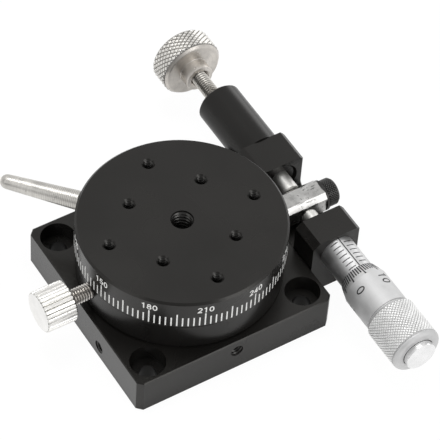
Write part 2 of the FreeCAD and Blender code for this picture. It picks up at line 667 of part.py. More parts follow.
def plunger_housing():
    nose = BLOCK_BORE_R - FIT
    start = REAR_BLOCK[0] + HOUSING_RECESS
    guide = PIN_R + RUNNING
    plug_seat = HOUSING_END - PLUG_LENGTH
    outline = [
        (start, guide), (start, nose), (REAR_BLOCK[1], nose), (REAR_BLOCK[1], HOUSING_R),
        (HOUSING_END - HOUSING_EDGE, HOUSING_R), (HOUSING_END, HOUSING_R - HOUSING_EDGE),
        (HOUSING_END, PLUG_R + FIT), (plug_seat, PLUG_R + FIT), (plug_seat, CHAMBER_R),
        (CHAMBER_START, CHAMBER_R), (CHAMBER_START, guide)]
    return turned(outline, LINE, Y_AXIS)


def housing_plug():
    start = HOUSING_END - PLUG_LENGTH
    return tube(PLUG_R, STEM_R + RUNNING, start, HOUSING_END, LINE, Y_AXIS)


def plunger_pin():
    """Pin with a domed end against the arm, a flange for the spring and a guide nose."""
    start = ARM_FACE + CONTACT_GAP
    shoulder = start + PIN_DOME_R - math.sqrt(PIN_DOME_R ** 2 - PIN_R ** 2)
    dome = Part.makeSphere(PIN_DOME_R, LINE + Y_AXIS * (start + PIN_DOME_R))
    front = dome.common(rod(PIN_R, start - 1, shoulder, LINE, Y_AXIS))
    flange_end = PIN_FLANGE_START + PIN_FLANGE_LENGTH
    nose_end = flange_end + PIN_NOSE_LENGTH
    rear = turned([
        (shoulder, 0), (shoulder, PIN_R), (PIN_FLANGE_START, PIN_R),
        (PIN_FLANGE_START, PIN_FLANGE_R), (flange_end, PIN_FLANGE_R), (flange_end, PIN_NOSE_R),
        (nose_end, PIN_NOSE_R), (nose_end, 0)], LINE, Y_AXIS)
    return front.fuse(rear).removeSplitter()


def return_spring():
    """Round-wire compression spring between the pin flange and the spring seat."""
    wire_gap = SPRING_WIRE_R + FIT
    length = SPRING_END - SPRING_START - 2 * wire_gap
    helix = Part.makeHelix(length / SPRING_TURNS, length, SPRING_R)
    start = V(SPRING_R, 0, 0)
    section = Part.Wire(Part.Circle(start, Y_AXIS, SPRING_WIRE_R).toShape())
    coil = Part.Wire(helix).makePipeShell([section], True, False)
    coil.Placement = FreeCAD.Placement(
        LINE + Y_AXIS * (SPRING_START + wire_gap), FreeCAD.Rotation(Z_AXIS, Y_AXIS))
    return coil


def spring_seat():
    return rod(SEAT_R, SPRING_END, SPRING_END + SEAT_LENGTH, LINE, Y_AXIS)


def tension_stem():
    """Threaded stem of the tension screw, from the spring seat into the knob."""
    start = SPRING_END + SEAT_LENGTH + RUNNING
    end = KNOB_END - (KNOB_END - KNOB_START) / 2
    return rod(STEM_R, start, end, LINE, Y_AXIS)


def tension_knob():
    """Knurled knob with a collar, screwed onto the stem."""
    b = KNOB_BEVEL
    outline = [
        (COLLAR_START, 0), (COLLAR_START, COLLAR_R - b / 2), (COLLAR_START + b / 2, COLLAR_R),
        (KNOB_START, COLLAR_R), (KNOB_START, KNOB_R - b), (KNOB_START + b, KNOB_R),
        (KNOB_END - b, KNOB_R), (KNOB_END, KNOB_R - b), (KNOB_END, 0)]
    knob = turned(outline, LINE, Y_AXIS)
    depth = KNOB_END - (KNOB_END - KNOB_START) / 2
    return knob.cut(rod(STEM_R + FIT, COLLAR_START - 1, depth, LINE, Y_AXIS))


PARTS = {
    "base_plate": base_plate,
    "bearing_outer_race": lambda: bearing_race(BEARING_OUTER_R - RACE_THICKNESS, BEARING_OUTER_R),
    "bearing_inner_race": lambda: bearing_race(BEARING_BORE_R, BEARING_BORE_R + RACE_THICKNESS),
    "bearing_balls": bearing_balls,
    "bearing_cage": bearing_cage,
    "bearing_lock_ring": bearing_lock_ring,
    "slip_washer": slip_washer,
    "clamp_ring": clamp_ring,
    "tangent_arm": tangent_arm,
    "arm_washer": arm_washer,
    "arm_cap_screw": arm_cap_screw,
    "rotating_table": rotating_table,
    "spindle_nut": spindle_nut,
    "turning_lever": turning_lever,
    "lever_stud": lever_stud,
    "clamp_pad": clamp_pad,
    "clamp_thumbscrew": clamp_thumbscrew,
    "micrometer_bracket": micrometer_bracket,
    "bracket_screws": bracket_screws,
    "sleeve_set_screw": sleeve_set_screw,
    "micrometer_sleeve": micrometer_sleeve,
    "adjusting_nut": adjusting_nut,
    "spindle_ball": spindle_ball,
    "micrometer_spindle": micrometer_spindle,
    "thimble": thimble,
    "thimble_cap": thimble_cap,
    "plunger_housing": plunger_housing,
    "housing_plug": housing_plug,
    "plunger_pin": plunger_pin,
    "return_spring": return_spring,
    "spring_seat": spring_seat,
    "tension_stem": tension_stem,
    "tension_knob": tension_knob,
}

os.makedirs("parts", exist_ok=True)
for name, make in PARTS.items():
    shape = make()
    shape.exportStep("parts/" + name + ".step")
    print(name, "solids", len(shape.Solids), "volume", round(shape.Volume, 3))
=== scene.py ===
import math

import bmesh
import bpy
from mathutils import Matrix, Vector

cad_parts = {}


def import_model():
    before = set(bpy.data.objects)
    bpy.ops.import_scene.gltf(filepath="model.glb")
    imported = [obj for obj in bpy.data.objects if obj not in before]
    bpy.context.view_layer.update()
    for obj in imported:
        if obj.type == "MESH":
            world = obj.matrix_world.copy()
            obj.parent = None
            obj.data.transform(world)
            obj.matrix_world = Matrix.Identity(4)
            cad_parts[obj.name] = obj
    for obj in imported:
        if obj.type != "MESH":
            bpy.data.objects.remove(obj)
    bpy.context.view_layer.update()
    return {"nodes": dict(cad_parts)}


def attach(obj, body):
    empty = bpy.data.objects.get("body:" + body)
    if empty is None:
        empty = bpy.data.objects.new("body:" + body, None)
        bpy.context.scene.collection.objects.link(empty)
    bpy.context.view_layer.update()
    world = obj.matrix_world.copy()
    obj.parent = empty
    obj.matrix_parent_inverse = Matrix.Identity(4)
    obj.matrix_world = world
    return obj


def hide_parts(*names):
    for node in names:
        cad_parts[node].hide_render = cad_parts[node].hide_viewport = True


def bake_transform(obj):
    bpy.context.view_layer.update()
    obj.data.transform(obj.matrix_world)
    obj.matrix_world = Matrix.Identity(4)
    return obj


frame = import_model()

# Lengths in this script are in millimetres until a mesh or an object is made.
MM = 0.001
HALF_PLATE = 20.0
TABLE_R = 19.0
TABLE_TOP = 20.0

# The line of the micrometer and the tension screw, then the heights of the other pieces.
LINE_X, LINE_Z = 25.2, 10.0
THUMB_Z = 11.4
ARM_SCREW_Z = 9.35
LEVER_Z = 17.75
LEVER_TURN = math.radians(131.9)


class Axis:
    """A line with a direction and a place where angle 0 is, for turned pieces."""

    def __init__(self, origin, along, zero):
        self.origin = Vector(origin)
        self.along = Vector(along).normalized()
        zero = Vector(zero)
        self.zero = (zero - self.along * zero.dot(self.along)).normalized()
        self.side = self.along.cross(self.zero)

    def at(self, a, r, phi):
        """The point at a place along the line, a distance from it and an angle round it."""
        out = self.zero * math.cos(phi) + self.side * math.sin(phi)
        return self.origin + self.along * a + out * r


SPIN = Axis((0, 0, 0), (0, 0, 1), (1, 0, 0))
LINE = Axis((LINE_X, 0, LINE_Z), (0, 1, 0), (0, 0, 1))
THUMB = Axis((0, 0, THUMB_Z), (-1, 0, 0), (0, 0, 1))
ARM_SCREW = Axis((0, 0, ARM_SCREW_Z), (1, 0, 0), (0, 1, 0))
LEVER = Axis((0, 0, LEVER_Z), (math.cos(LEVER_TURN), math.sin(LEVER_TURN), 0), (0, 0, 1))


# Materials. The scales of their noise are per metre.
DYE_SCALE = 55.0
BLAST_SCALE = 5200.0
CLOUD_SCALE = 320.0
BRUSH_SCALE = (9000.0, 350.0, 9000.0)
CUT_SCALE = (650.0, 3600.0, 650.0)
CUT_TURN = (0, 0, 0.5)
CUT_PATCH_SCALE = 240.0
SPECK_SCALE = 1500.0
PAINT_SCALE = 900.0


class Nodes:
    """Short calls for building a material's node tree."""

    def __init__(self, name):
        self.material = bpy.data.materials.new(name)
        self.material.use_nodes = True
        self.tree = self.material.node_tree
        self.shader = self.tree.nodes["Principled BSDF"]

    def add(self, kind, **settings):
        """Adds a node; its inputs are given as values or as other nodes' outputs."""
        node = self.tree.nodes.new(kind)
        inputs = settings.pop("inputs", {})
        for key, value in settings.items():
            setattr(node, key, value)
        for key, value in inputs.items():
            if isinstance(value, bpy.types.NodeSocket):
                self.tree.links.new(value, node.inputs[key])
            else:
                node.inputs[key].default_value = value
        return node

    def link(self, a, b):
        self.tree.links.new(a, b)

    def position(self):
        return self.add("ShaderNodeTexCoord").outputs["Object"]

    def mapped(self, vector, scale, rotation=(0, 0, 0)):
        node = self.add("ShaderNodeMapping", inputs={
            "Vector": vector, "Scale": scale, "Rotation": rotation})
        return node.outputs["Vector"]

    def noise(self, vector, scale, detail=2.0, roughness=0.5):
        node = self.add("ShaderNodeTexNoise", inputs={
            "Vector": vector, "Scale": scale, "Detail": detail, "Roughness": roughness})
        return node.outputs["Fac"]

    def math(self, operation, a, b=0.0):
        node = self.add("ShaderNodeMath", operation=operation)
        for socket, value in zip(node.inputs, (a, b)):
            if isinstance(value, bpy.types.NodeSocket):
                self.link(value, socket)
            else:
                socket.default_value = value
        return node.outputs[0]

    def span(self, value, low, high, to_low, to_high):
        """Maps the span from low to high to another one, and holds its ends beyond it."""
        node = self.add("ShaderNodeMapRange", inputs={
            "Value": value, "From Min": low, "From Max": high, "To Min": to_low,
            "To Max": to_high})
        return node.outputs["Result"]

    def blend(self, factor, a, b):
        node = self.add("ShaderNodeMix", data_type="RGBA")
        self.link(factor, node.inputs["Factor"])
        for socket, value in ((node.inputs[6], a), (node.inputs[7], b)):
            if isinstance(value, bpy.types.NodeSocket):
                self.link(value, socket)
            else:
                socket.default_value = (*value, 1)
        return node.outputs[2]

    def bump(self, height, strength, distance):
        node = self.add("ShaderNodeBump", inputs={
            "Height": height, "Strength": strength, "Distance": distance})
        self.link(node.outputs["Normal"], self.shader.inputs["Normal"])

    def about_line(self, origin, along):
        """Distance along a line and distance from it."""
        place = self.add("ShaderNodeVectorMath", operation="SUBTRACT", inputs={
            0: self.position(), 1: Vector(origin) * MM})
        height = self.add("ShaderNodeVectorMath", operation="DOT_PRODUCT", inputs={
            0: place.outputs[0], 1: Vector(along)})
        length = self.add("ShaderNodeVectorMath", operation="LENGTH", inputs={
            0: place.outputs[0]})
        a = height.outputs["Value"]
        square = self.math("SUBTRACT", self.math("POWER", length.outputs["Value"], 2.0),
                           self.math("POWER", a, 2.0))
        return a, self.math("SQRT", self.math("MAXIMUM", square, 0.0))

    def turned_lines(self, a, radius, scale):
        """Noise that is the same all the way round a line: the marks of a lathe tool."""
        joined = self.add("ShaderNodeCombineXYZ", inputs={0: a, 1: radius})
        return self.noise(joined.outputs[0], scale, 3.0, 0.65)


def shaded(colour, share):
    """A darker or lighter copy of a colour."""
    return tuple(c * share for c in colour)


def anodised(name, colour=(0.0082, 0.0076, 0.0069), roughness=0.27, specular=0.38):
    """Black anodised aluminium: satin, with a fine blasted grain and faint uneven dye."""
    n = Nodes(name)
    place = n.position()
    cloud = n.noise(place, DYE_SCALE, 3.0)
    grain = n.noise(place, BLAST_SCALE, 2.0, 0.6)
    base = n.blend(n.span(cloud, 0.35, 0.65, 0.0, 1.0), shaded(colour, 0.82),
                   shaded(colour, 1.18))
    n.link(base, n.shader.inputs["Base Color"])
    n.link(n.span(cloud, 0.3, 0.7, roughness - 0.04, roughness + 0.04),
           n.shader.inputs["Roughness"])
    n.shader.inputs["Specular IOR Level"].default_value = specular
    n.shader.inputs["Specular Tint"].default_value = (1.0, 0.985, 0.95, 1.0)
    n.bump(grain, 0.18, 0.00003)
    return n.material


def metal(name, colour, roughness, about=None, lines=0.0, line_strength=0.3, stain=0.0,
          grooves=None, specks=0.0, rings=None, scratches=0.0):
    """Bare or plated metal: tool marks round its line, stains, specks and scratches.

    Grooves are (radius of the dark bottom, radius of the clear crest, how dark): painted shade,
    the colour darkening towards a groove's bottom. Rings are (pitch, place where they are full,
    place where they have faded, how dark).
    """
    n = Nodes(name)
    place = n.position()
    cloud = n.noise(place, CLOUD_SCALE, 3.0, 0.6)
    brushed = n.noise(n.mapped(place, BRUSH_SCALE), 1.0, 2.0, 0.7)
    dark = shaded(colour, 0.86 - stain)
    base = n.blend(n.span(cloud, 0.35, 0.7, 1.0, 0.0), colour, dark)
    height = n.math("MULTIPLY", brushed, 0.35)
    if about:
        a, radius = n.about_line(*about)
        if lines:
            marks = n.turned_lines(a, radius, lines)
            base = n.blend(n.span(marks, 0.4, 0.75, 0.0, 0.5), base, dark)
            height = n.math("ADD", height, marks)
        # Painted shade: the colour darkens towards the axis, into the bottoms of knurls, flutes
        # and threads.
        if grooves:
            low, high, depth = grooves
            base = n.blend(n.span(radius, low * MM, high * MM, depth, 0.0), base,
                           shaded(colour, 0.2))
        if rings:
            pitch, first, last, depth = rings
            wave = n.math("SINE", n.math("MULTIPLY", a, 2 * math.pi / (pitch * MM)))
            fade = n.span(a, first * MM, last * MM, depth, 0.0)
            worn = n.math("MULTIPLY", fade, n.span(cloud, 0.3, 0.6, 0.3, 1.0))
            base = n.blend(n.math("MULTIPLY", n.span(wave, 0.0, 0.8, 0.0, 1.0), worn), base,
                           shaded(colour, 0.3))
    if specks:
        spots = n.noise(place, SPECK_SCALE, 2.0, 0.6)
        where = n.math("MULTIPLY", n.span(spots, 0.6, 0.68, 0.0, 1.0),
                       n.span(cloud, 0.5, 0.6, 0.0, specks))
        base = n.blend(where, base, shaded(colour, 0.15))
    if scratches:
        cuts = n.noise(n.mapped(place, CUT_SCALE, CUT_TURN), 1.0, 2.0, 0.6)
        where = n.math("MULTIPLY", n.span(cuts, 0.58, 0.64, 0.0, 1.0),
                       n.span(n.noise(place, CUT_PATCH_SCALE), 0.48, 0.56, 0.0, scratches))
        base = n.blend(where, base, shaded(colour, 0.2))
    n.link(base, n.shader.inputs["Base Color"])
    n.shader.inputs["Metallic"].default_value = 1.0
    n.link(n.span(cloud, 0.3, 0.7, roughness - 0.04, roughness + 0.07),
           n.shader.inputs["Roughness"])
    n.bump(height, line_strength, 0.00002)
    return n.material


def paint(name, colour, roughness=0.6):
    """Marking paint or an engraved mark, slightly uneven."""
    n = Nodes(name)
    cloud = n.noise(n.position(), PAINT_SCALE, 3.0)
    base = n.blend(n.span(cloud, 0.35, 0.7, 0.0, 1.0), colour, shaded(colour, 0.88))
    n.link(base, n.shader.inputs["Base Color"])
    n.shader.inputs["Roughness"].default_value = roughness
    n.bump(cloud, 0.1, 0.00001)
    return n.material


# The lines that turned metal was turned about: a point and a direction.
ON_LINE = ((LINE_X, 0, LINE_Z), (0, 1, 0))
ON_THUMB = ((0, 0, THUMB_Z), (1, 0, 0))
ON_LEVER = ((0, 0, LEVER_Z), tuple(LEVER.along))
ON_ARM_SCREW = ((0, 0, ARM_SCREW_Z), (1, 0, 0))
MATERIALS = {
    "anodised": anodised("black_anodised"),
    "ring": anodised("black_anodised_ring", (0.0085, 0.008, 0.0075), 0.27, 0.3),
    "thread_black": anodised("black_anodised_thread", (0.010, 0.0095, 0.009), 0.22, 0.55),
    "chrome": metal("satin_chrome", (0.71, 0.71, 0.71), 0.42, ON_LINE, 9000.0, 0.12),
    "barrel": metal("satin_chrome_barrel", (0.72, 0.72, 0.72), 0.6, ON_LINE, 9000.0, 0.1),
    # Lighter than the barrel's chrome: painted sheen on the knurl. Darker into its groove
    # bottoms: painted shade.
    "chrome_knurl": metal("satin_chrome_knurl", (0.97, 0.97, 0.965), 0.6, ON_LINE,
                          grooves=(4.69, 4.74, 0.6)),
    "cap": metal("polished_cap", (0.95, 0.95, 0.95), 0.22, ON_LINE, 6000.0, 0.08),
    "knob": metal("plated_knob", (0.80, 0.76, 0.71), 0.3, ON_LINE, 3800.0, 0.35, 0.2),
    # Lighter than the knob's plating: painted sheen on the knurl. Darker into its groove
    # bottoms: painted shade.
    "knob_knurl": metal("plated_knob_knurl", (0.94, 0.92, 0.88), 0.34, ON_LINE,
                        grooves=(5.99, 6.12, 0.85)),
    # Darker into the thread roots: painted shade.
    "stem": metal("plated_stem", (0.80, 0.77, 0.72), 0.3, ON_LINE, grooves=(1.26, 1.46, 0.9)),
    "thumb": metal("plated_thumbscrew", (0.97, 0.96, 0.94), 0.32, ON_THUMB, 4000.0, 0.12),
    # Darker into the flute bottoms: painted shade.
    "thumb_flutes": metal("plated_thumbscrew_flutes", (0.95, 0.94, 0.91), 0.32, ON_THUMB,
                          grooves=(3.56, 3.72, 0.8)),
    # Darker into the thread roots: painted shade.
    "thumb_stem": metal("plated_thumb_stem", (0.76, 0.73, 0.69), 0.3, ON_THUMB,
                        grooves=(1.26, 1.46, 0.9)),
    "lever": metal("plated_lever", (0.76, 0.74, 0.70), 0.36, ON_LEVER, 2600.0, 0.5, 0.2,
                   specks=0.6, rings=(0.34, 21.0, 28.5, 0.7)),
    "arm": metal("ground_arm", (0.66, 0.655, 0.64), 0.28, stain=0.3, specks=1.0,
                 scratches=0.9),
    "ground": metal("ground_steel", (0.88, 0.87, 0.84), 0.42, ON_LINE, 5000.0, 0.12, 0.1),
    "bearing": metal("bearing_steel", (0.62, 0.62, 0.63), 0.15),
    "oxide": metal("black_oxide_steel", (0.055, 0.054, 0.053), 0.38),
    # Darker into its groove bottoms: painted shade.
    "oxide_knurl": metal("black_oxide_knurl", (0.11, 0.109, 0.107), 0.4, ON_ARM_SCREW,
                         grooves=(2.5, 2.6, 0.75)),
    "brass": metal("brass", (0.72, 0.55, 0.27), 0.3),
    "spring": metal("spring_steel", (0.5, 0.5, 0.51), 0.25),
    "polymer": paint("slip_polymer", (0.80, 0.79, 0.74), 0.5),
    "white": paint("scale_white", (0.92, 0.92, 0.90)),
    "ink": paint("scale_black", (0.012, 0.012, 0.013), 0.5),
}


# Meshes. Points closer together than the weld, in metres, become one point.
WELD = 1e-7


def piece(name, points, faces, material, body, sharp=32.0, replaces=(), kinds=(),
          pressed=None):
    """Makes one object from points in millimetres that rides on a body, or, when pressed is
    given, stays fixed where it is made.
    """
    mesh = bpy.data.meshes.new(name)
    mesh.from_pydata([Vector(p) * MM for p in points], [], faces)
    for polygon, kind in zip(mesh.polygons, kinds):
        polygon.material_index = kind
    work = bmesh.new()
    work.from_mesh(mesh)
    bmesh.ops.remove_doubles(work, verts=work.verts, dist=WELD)
    bmesh.ops.recalc_face_normals(work, faces=work.faces)
    work.to_mesh(mesh)
    work.free()
    for polygon in mesh.polygons:
        polygon.use_smooth = True
    mesh.set_sharp_from_angle(angle=math.radians(sharp))
    thing = bpy.data.objects.new(name, mesh)
    bpy.context.scene.collection.objects.link(thing)
    for each in material if isinstance(material, (list, tuple)) else [material]:
        mesh.materials.append(MATERIALS[each])
    if pressed:
        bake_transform(thing)
    else:
        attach(thing, body)
    if replaces:
        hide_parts(*replaces)
    return thing


def lathe(axis, rows, segments, closed=False, change=None, start=0):
    """Points and faces of a turned shape: rows are (place along the axis, radius)."""
    points, faces, rings = [], [], []
    for i, (a, r) in enumerate(rows):
        if r <= 1e-9:
            rings.append([len(points) + start])
            points.append(axis.at(a, 0, 0))
            continue
        ring = []
        for j in range(segments):
            phi = 2 * math.pi * j / segments
            here = change(i, j, a, r, phi) if change else (a, r, phi)
            ring.append(len(points) + start)
            points.append(axis.at(*here))
        rings.append(ring)
    pairs = list(zip(rings, rings[1:]))
    if closed:
        pairs.append((rings[-1], rings[0]))
    for low, high in pairs:
        for j in range(segments):
            k = (j + 1) % segments
            if len(low) == 1 and len(high) == 1:
                continue
            if len(low) == 1:
                faces.append((low[0], high[k], high[j]))
            elif len(high) == 1:
                faces.append((low[j], low[k], high[0]))
            else:
                faces.append((low[j], low[k], high[k], high[j]))
    return points, faces


def triangle(t):
    """Triangle wave: 0 at whole numbers, 1 halfway between them."""
    t = t % 1.0
    return 1 - abs(2 * t - 1)


def thread_rows(start, end, radius, pitch, per_pitch=8):
    """Rows for a threaded length; the radius changes in the thread's own function."""
    count = max(2, round((end - start) / pitch * per_pitch))
    return [(start + (end - start) * i / count, radius) for i in range(count + 1)]


def thread_depth(a, phi, pitch):
    """0 on a crest and 1 in a groove, with a narrow flat on each."""
    wave = triangle(a / pitch - phi / (2 * math.pi))
    return min(1.0, max(0.0, (wave - 0.12) / 0.76))


# Tapped holes: radius, pitch, depth of the thread and depth of the bevel at the mouth.
CENTRE_HOLE = (2.1, 0.8, 7.6, 0.25)
SMALL_HOLE = (1.05, 0.45, 4.8, 0.2)
SIDE_HOLE = (1.25, 0.5, 6.8, 0.12)
HOLE_PITCH = 10
HOLE_TURN = math.radians(39.7)
RIDGE = 0.4            # height of a ridge as a share of the pitch
SLEEVE_WALL = 0.08     # how far the outside of a thread's sleeve lies in the solid
THREAD_SIDES = 40


def tapped(name, mouth, inward, hole, body):
    """Thread ridges inside a hole, as a thin sleeve whose outside lies in the solid."""
    radius, pitch, depth, bevel = hole
    inward = Vector(inward)
    side = (1, 0, 0) if abs(inward.x) < 0.5 else (0, 1, 0)
    axis = Axis(mouth, inward, side)
    ridge = RIDGE * pitch
    rows = thread_rows(bevel, depth, radius - ridge, pitch)
    last = len(rows) - 1

    def change(i, j, a, r, phi):
        if i > last:
            return a, r, phi
        lift = thread_depth(a, phi, pitch) * ridge
        fade = min(1.0, (a - bevel) / (pitch * 0.5) + 0.05)
        return a, radius - (ridge - lift) * fade, phi

    rows = rows + [(depth, radius + SLEEVE_WALL), (bevel, radius + SLEEVE_WALL)]
    points, faces = lathe(axis, rows, THREAD_SIDES, True, change)
    piece(name, points, faces, "thread_black", body, 50.0)


tapped("centre_thread", (0, 0, TABLE_TOP), (0, 0, -1), CENTRE_HOLE, "table")
count = 0
for i in (-1, 0, 1):
    for j in (-1, 0, 1):
        if i or j:
            count += 1
            x = HOLE_PITCH * (i * math.cos(HOLE_TURN) - j * math.sin(HOLE_TURN))
            y = HOLE_PITCH * (i * math.sin(HOLE_TURN) + j * math.cos(HOLE_TURN))
            tapped("table_thread_%d" % count, (x, y, TABLE_TOP), (0, 0, -1), SMALL_HOLE, "table")
tapped("front_thread", (0, -HALF_PLATE, 4.8), (0, 1, 0), SIDE_HOLE, "base")
tapped("side_thread_front", (-HALF_PLATE, -6, 2.7), (1, 0, 0), SIDE_HOLE, "base")
tapped("side_thread_back", (-HALF_PLATE, 6, 2.7), (1, 0, 0), SIDE_HOLE, "base")


# Marks and numerals on turned surfaces. A mark stands a little proud of the surface, and its
# underside lies this much below its face, in the solid.
MARK_DEPTH = 0.03


def patch(axis, lift, low, high, left, right, radius, steps=1):
    """A thin curved mark on a turned surface; radius is a function of the place."""
    points, faces = [], []
    for side in (0.0, -MARK_DEPTH):
        for i in range(steps + 1):
            phi = left + (right - left) * i / steps
            for a in (low, high):
                points.append(axis.at(a, radius(a) + lift + side, phi))
    n = 2 * (steps + 1)
    for i in range(steps):
        b = 2 * i
        faces.append((b, b + 2, b + 3, b + 1))
        faces.append((n + b, n + b + 1, n + b + 3, n + b + 2))
        faces.append((b, n + b, n + b + 2, b + 2))
        faces.append((b + 1, b + 3, n + b + 3, n + b + 1))
    faces.append((0, 1, n + 1, n))
    e = n - 2
    faces.append((e, n + e, n + e + 1, e + 1))
    return points, faces


def stroke(axis, path, half, radius, lift, closed=False):
    """A thin bent strip along a path of (place along the axis, arc length) points."""
    count = len(path)
    points, faces = [], []
    for i, (a, length) in enumerate(path):
        before = path[i - 1] if i or closed else path[0]
        after = path[(i + 1) % count] if i < count - 1 or closed else path[-1]
        first = Vector((a - before[0], length - before[1]))
        second = Vector((after[0] - a, after[1] - length))
        if first.length < 1e-9:
            first = second
        if second.length < 1e-9:
            second = first
        first.normalize()
        second.normalize()
        middle = first + second
        middle = middle.normalized() if middle.length > 1e-6 else first
        across = Vector((-middle.y, middle.x))
        reach = half / max(0.5, middle.dot(first))
        for side, depth in ((1, 0.0), (-1, 0.0), (-1, -MARK_DEPTH), (1, -MARK_DEPTH)):
            here = a + across.x * reach * side
            turn = (length + across.y * reach * side) / radius(a)
            points.append(axis.at(here, radius(here) + lift + depth, turn))
    for i in range(count if closed else count - 1):
        b, c = 4 * i, 4 * ((i + 1) % count)
        for k in range(4):
            m = (k + 1) % 4
            faces.append((b + k, b + m, c + m, c + k))
    if not closed:
        e = 4 * (count - 1)
        faces += [(3, 2, 1, 0), (e, e + 1, e + 2, e + 3)]
    return points, faces


def oval(x, y, rx, ry, first, last, steps):
    """Part of an ellipse as a path, between two angles in degrees."""
    path = []
    for i in range(steps + 1):
        t = math.radians(first + (last - first) * i / steps)
        path.append((x + rx * math.cos(t), y + ry * math.sin(t)))
    return path


# Numerals as strokes in a box one unit high: (closed, path).
NUMERAL_WIDTH = 0.6
NUMERALS = {
    "0": [(True, oval(0.3, 0.5, 0.24, 0.42, 0, 360, 20)[:-1])],
    "1": [(False, [(0.1, 0.76), (0.33, 0.92), (0.33, 0.0)])],
    "2": [(False, oval(0.29, 0.68, 0.23, 0.24, 165, -35, 9) + [(0.08, 0.08), (0.56, 0.08)])],
    "3": [(False, oval(0.28, 0.71, 0.2, 0.21, 150, -80, 9)
           + oval(0.28, 0.29, 0.24, 0.21, 80, -150, 9))],
    "4": [(False, [(0.42, 0.0), (0.42, 0.9), (0.05, 0.27), (0.58, 0.27)])],
    "5": [(False, [(0.52, 0.92), (0.14, 0.92), (0.09, 0.5)]
           + oval(0.29, 0.32, 0.24, 0.24, 125, -150, 11))],
    "6": [(True, oval(0.3, 0.32, 0.23, 0.24, 0, 360, 16)[:-1]),
          (False, [(0.08, 0.36), (0.11, 0.6), (0.22, 0.82), (0.42, 0.92)])],
    "7": [(False, [(0.05, 0.92), (0.55, 0.92), (0.22, 0.0)])],
    "8": [(True, oval(0.3, 0.72, 0.19, 0.2, 0, 360, 16)[:-1]),
          (True, oval(0.3, 0.29, 0.23, 0.22, 0, 360, 16)[:-1])],
    "9": [(True, oval(0.3, 0.68, 0.23, 0.24, 0, 360, 16)[:-1]),
          (False, [(0.52, 0.64), (0.49, 0.4), (0.38, 0.18), (0.18, 0.08)])],
}


def join(parts):
    """One mesh from several lists of points and faces."""
    points, faces = [], []
    for some_points, some_faces in parts:
        start = len(points)
        points += some_points
        faces += [tuple(i + start for i in face) for face in some_faces]
    return points, faces


def finer(path, closed, longest=0.3):
    """Adds points to a path, so that its strip follows a curved surface."""
    points = []
    for here, there in zip(path, path[1:] + (path[:1] if closed else [])):
        steps = max(1, math.ceil(math.dist(here, there) / longest))
        points += [tuple(p + (q - p) * k / steps for p, q in zip(here, there))
                   for k in range(steps)]
    return points if closed else points + path[-1:]


def number(text, size, pitch, half, axis, place, angle, radius, lift, upright=True):
    """A number of bent strokes; it stands along the axis, or lies round it."""
    width, height = size
    parts = []
    for k, digit in enumerate(text):
        shift = (k - (len(text) - 1) / 2) * pitch
        for closed, outline in NUMERALS[digit]:
            path = []
            for x, y in outline:
                x = shift + (x / NUMERAL_WIDTH - 0.5) * width
                y *= height
                base = angle * radius(place)
                path.append((place + y, base + x) if upright
                            else (place - x, base + y - height / 2))
            parts.append(stroke(axis, finer(path, closed), half, radius, lift, closed))
    return join(parts)


# The dial: a mark every three degrees, a longer one every fifteen, a numeral every thirty.
DIAL_ZERO = math.radians(41.9)
DIAL_STEP = 3
DIAL_LOW = 14.0
DIAL_LENGTHS = (2.25, 3.2)
DIAL_NUMERAL_Z = 17.48
DIAL_NUMERAL = (0.84, 1.43)


def dial_marks():
    parts = []
    half = 0.125 / TABLE_R
    for k in range(360 // DIAL_STEP):
        phi = DIAL_ZERO + math.radians(DIAL_STEP * k)
        high = DIAL_LOW + DIAL_LENGTHS[k % 5 == 0]
        parts.append(patch(SPIN, 0.012, DIAL_LOW, high, phi - half, phi + half,
                           lambda a: TABLE_R))
        if k % 10 == 0:
            parts.append(number(str(DIAL_STEP * k), DIAL_NUMERAL, 1.04, 0.11, SPIN,
                                DIAL_NUMERAL_Z, phi, lambda a: TABLE_R, 0.016))
    return join(parts)


points, faces = dial_marks()
piece("table_scale", points, faces, "white", "table")


# Micrometer and tension knob. Places are along the line, and the micrometer's are negative.
SLEEVE_R = 3.35
SLEEVE_MARKS = 7
SLEEVE_MARK_HALF = 0.095
SLEEVE_LIFT = 0.01
SLEEVE_LINE, SLEEVE_LINE_TURN = (-20.2, -12.72), 0.031
# Rows of marks, one millimetre apart: place of the first, and the angles of both ends.
SLEEVE_ROWS = ((-13.82, 7.8, 36.0), (-13.33, -36.6, -8.8))
THIMBLE_EDGE, THIMBLE_EDGE_R = -19.85, 3.55
BEVEL_END, THIMBLE_R = -22.3, 4.3
THIMBLE_MARKS = 50
THIMBLE_ZERO = -42
SHORT_MARK_END = -21.55
THIMBLE_NUMERAL_PLACE = -24.4
THIMBLE_NUMERAL = (1.1, 1.95)


def sleeve_marks():
    parts = [patch(LINE, SLEEVE_LIFT, *SLEEVE_LINE, -SLEEVE_LINE_TURN, SLEEVE_LINE_TURN,
                   lambda a: SLEEVE_R)]
    for k in range(SLEEVE_MARKS):
        for first, left, right in SLEEVE_ROWS:
            a = first - k
            parts.append(patch(LINE, SLEEVE_LIFT, a - SLEEVE_MARK_HALF, a + SLEEVE_MARK_HALF,
                               math.radians(left), math.radians(right),
                               lambda a: SLEEVE_R, 6))
    return join(parts)


points, faces = sleeve_marks()
piece("sleeve_scale", points, faces, "ink", "base")


def bevel_radius(a):
    """Radius of the thimble's bevel at a place along it."""
    t = (THIMBLE_EDGE - a) / (THIMBLE_EDGE - BEVEL_END)
    return THIMBLE_EDGE_R + (THIMBLE_R - THIMBLE_EDGE_R) * min(1.0, max(0.0, t))


